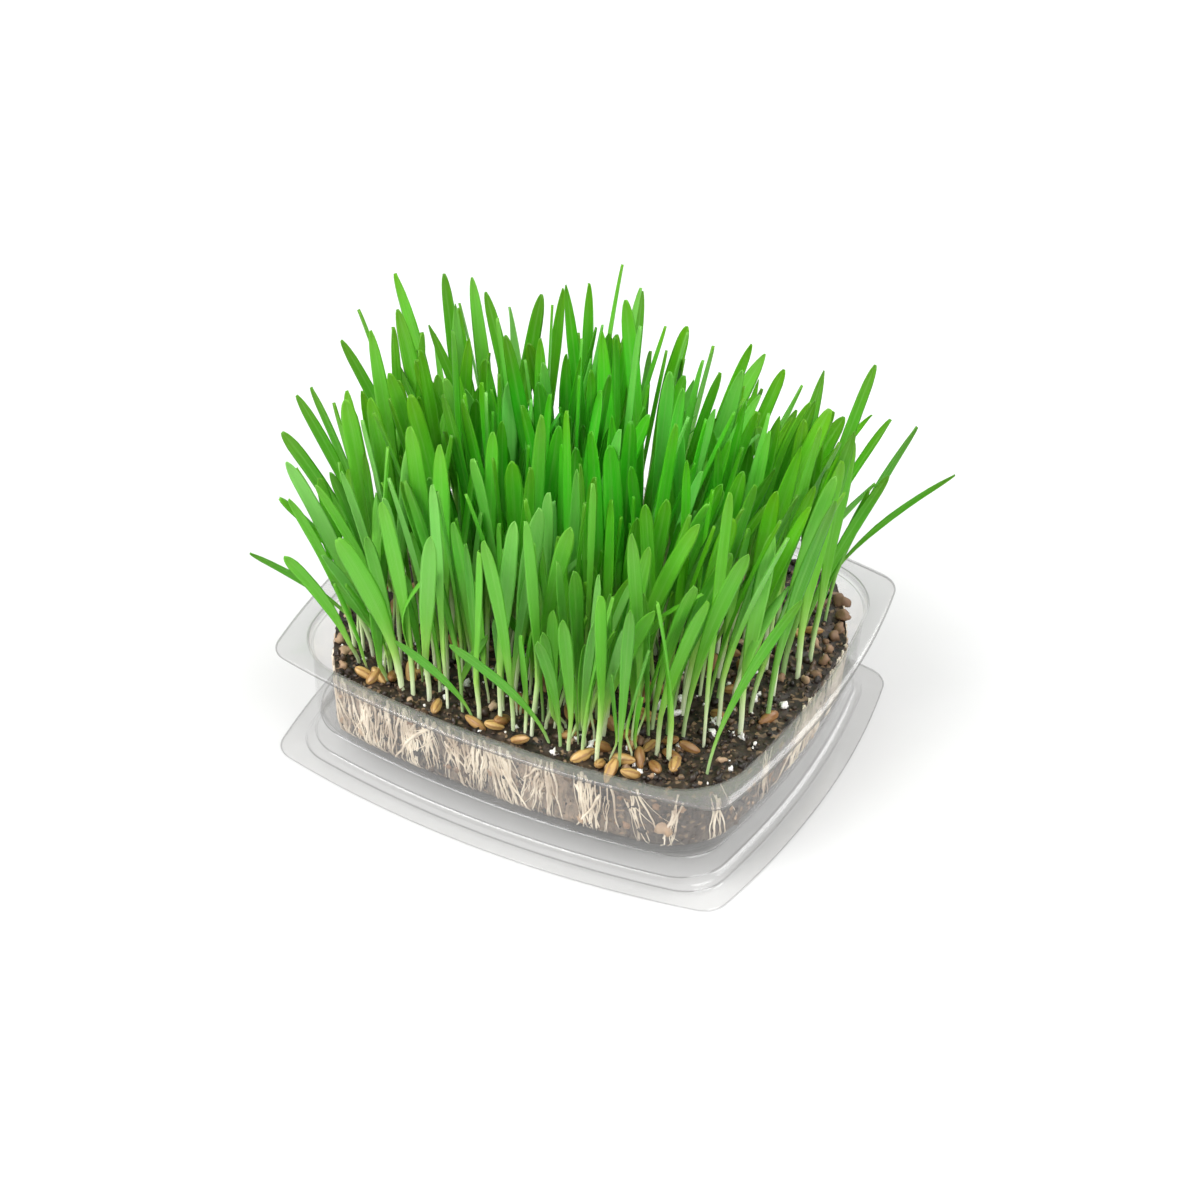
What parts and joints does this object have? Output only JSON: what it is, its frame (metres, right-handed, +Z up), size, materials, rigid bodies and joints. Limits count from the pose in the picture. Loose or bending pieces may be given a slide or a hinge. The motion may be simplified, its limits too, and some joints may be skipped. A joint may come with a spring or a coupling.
{
  "type": "wheatgrass tray",
  "caption": "Dense young wheatgrass growing from dark soil in a clear bowed plastic tub, which stands on its own upturned clear lid.",
  "frame": {"origin": "on the table under the middle of the part's box, which is the middle of the tub", "axes": "+X along the tub's long side, +Y towards the back long side, +Z up"},
  "size_m": [0.176, 0.156, 0.1275],
  "materials": {
    "clear_plastic": "thin clear thermoformed sheet, glossy, slightly milky",
    "soil": "moist dark potting soil, crumbly and matt",
    "grass": "fresh green blades, satin, pale at the foot",
    "roots": "cream root threads, matt",
    "kernels": "straw-brown soaked wheat kernels, satin",
    "perlite": "white foamed grains, matt",
    "pebbles": "tan and brown grit, matt"
  },
  "bodies": {
    "root": {"lid": "clear_plastic", "tub": "clear_plastic", "soil": "soil", "grass_row_01": "grass", "grass_row_02": "grass", "grass_row_03": "grass", "grass_row_04": "grass", "grass_row_05": "grass", "grass_row_06": "grass", "grass_row_07": "grass", "grass_row_08": "grass", "grass_row_09": "grass", "grass_row_10": "grass", "grass_row_11": "grass", "grass_row_12": "grass"}
  },
  "joints": []
}
